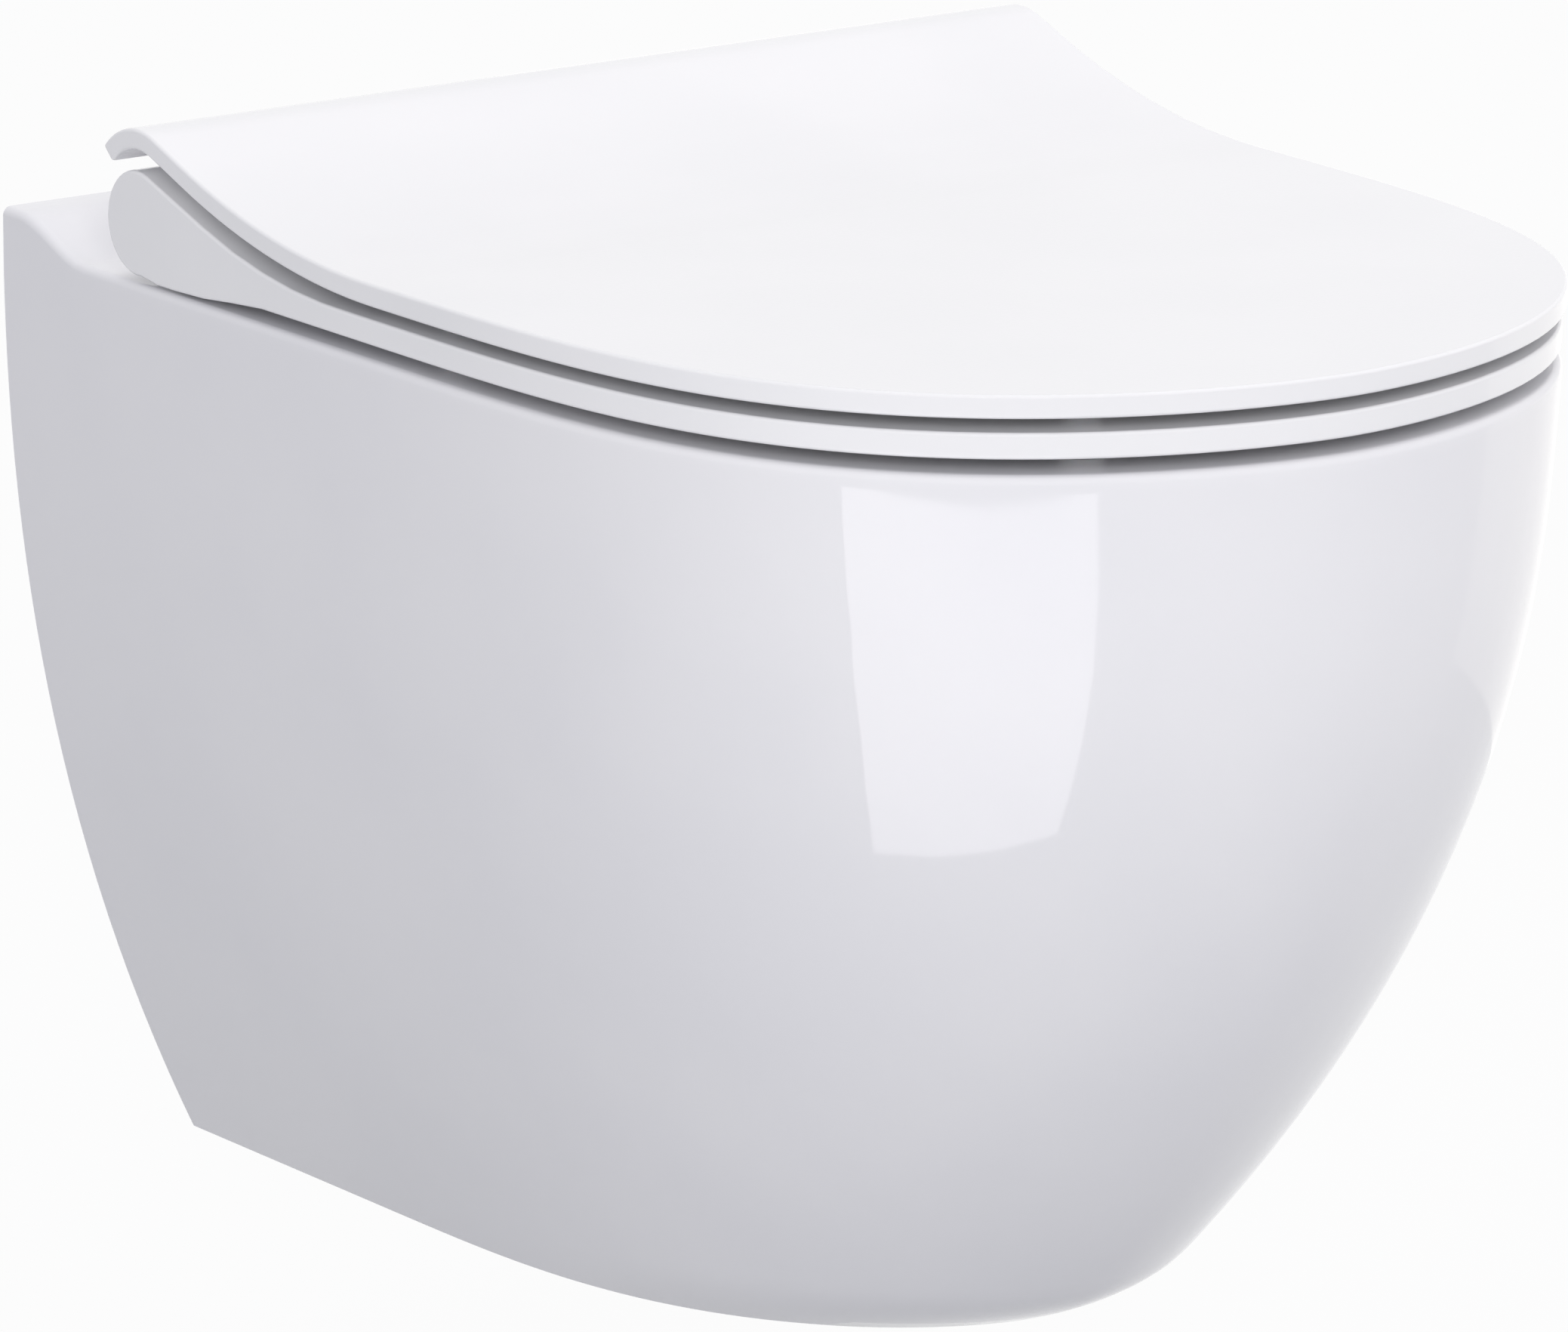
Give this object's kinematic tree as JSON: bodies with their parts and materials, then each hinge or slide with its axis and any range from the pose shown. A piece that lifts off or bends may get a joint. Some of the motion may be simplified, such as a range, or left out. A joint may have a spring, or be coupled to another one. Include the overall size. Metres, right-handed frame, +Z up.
{
  "type": "wall hung toilet",
  "caption": "Wall hung toilet: rounded ceramic pan with a hidden back, slim hinged seat ring and a flat wrap over lid with an upswept rear.",
  "frame": {"origin": "midway between the two wall studs, on the wall plane at the back of the pan", "axes": "+Z up, -Y out from the wall towards the user, +X to the right of someone who faces the wall"},
  "size_m": [0.372, 0.5106, 0.3842],
  "materials": {
    "glazed_ceramic": "high gloss white glaze",
    "seat_plastic": "glossy white moulded thermoset",
    "white_plastic": "satin white",
    "grey_plastic": "satin grey",
    "chrome": "polished",
    "stainless_steel": "turned",
    "zinc": "bright zinc plate",
    "seal_rubber": "matt",
    "pad_rubber": "translucent white, matt"
  },
  "bodies": {
    "pan": {"pan_deck": "glazed_ceramic", "pan_shell": "glazed_ceramic", "pan_bowl_wall": "glazed_ceramic", "pan_bowl_funnel": "glazed_ceramic", "pan_trap": "glazed_ceramic", "pan_flush_horn": "glazed_ceramic", "flush_deflector": "white_plastic", "inlet_seal": "seal_rubber", "seat_stud_left": "stainless_steel", "seat_stud_right": "stainless_steel", "hinge_rosette_left": "chrome", "hinge_rosette_right": "chrome", "expansion_sleeve_left": "seal_rubber", "expansion_sleeve_right": "seal_rubber", "cone_nut_left": "grey_plastic", "cone_nut_right": "grey_plastic", "stud_sleeve_left": "white_plastic", "stud_sleeve_right": "white_plastic", "stud_washer_left": "stainless_steel", "stud_washer_right": "stainless_steel", "fixing_block_left": "zinc", "fixing_block_right": "zinc", "grub_screw_left": "stainless_steel", "grub_screw_right": "stainless_steel", "access_cap_left": "white_plastic", "access_cap_right": "white_plastic"},
    "seat_carrier": {"hinge_post_left": "chrome", "hinge_post_right": "chrome", "hinge_pin_left": "stainless_steel", "hinge_pin_right": "stainless_steel"},
    "ring": {"seat_ring": "seat_plastic", "ring_pad_front_left": "pad_rubber", "ring_pad_front_right": "pad_rubber", "ring_pad_rear_left": "pad_rubber", "ring_pad_rear_right": "pad_rubber", "hinge_bush_left": "grey_plastic", "hinge_bush_right": "grey_plastic", "damper_left": "grey_plastic", "damper_right": "grey_plastic"},
    "lid": {"seat_lid": "seat_plastic", "lid_pad_front_left": "pad_rubber", "lid_pad_front_right": "pad_rubber", "lid_pad_rear_left": "pad_rubber", "lid_pad_rear_right": "pad_rubber", "lid_arm_left": "seat_plastic", "lid_arm_right": "seat_plastic"},
    "release_button_left": {"release_button_left": "chrome"},
    "release_button_right": {"release_button_right": "chrome"}
  },
  "joints": [
    {"name": "seat_lift", "type": "slide", "parent": "pan", "child": "seat_carrier", "axis": [0, 0, 1], "range_m": [0, 0.06]},
    {"name": "seat_hinge", "type": "hinge", "parent": "seat_carrier", "child": "ring", "pos_m": [0, -0.0837, 0.1144], "axis": [-1, 0, 0], "range_deg": [0, 92]},
    {"name": "lid_hinge", "type": "hinge", "parent": "ring", "child": "lid", "pos_m": [0, -0.0837, 0.1144], "axis": [1, 0, 0], "range_deg": [-93, 0]},
    {"name": "release_left", "type": "slide", "parent": "seat_carrier", "child": "release_button_left", "axis": [0, -1, 0], "range_m": [0, 0.0025], "stiffness_N_per_m": 300, "springref_m": -0.002},
    {"name": "release_right", "type": "slide", "parent": "seat_carrier", "child": "release_button_right", "axis": [0, -1, 0], "range_m": [0, 0.0025], "stiffness_N_per_m": 300, "springref_m": -0.002}
  ]
}
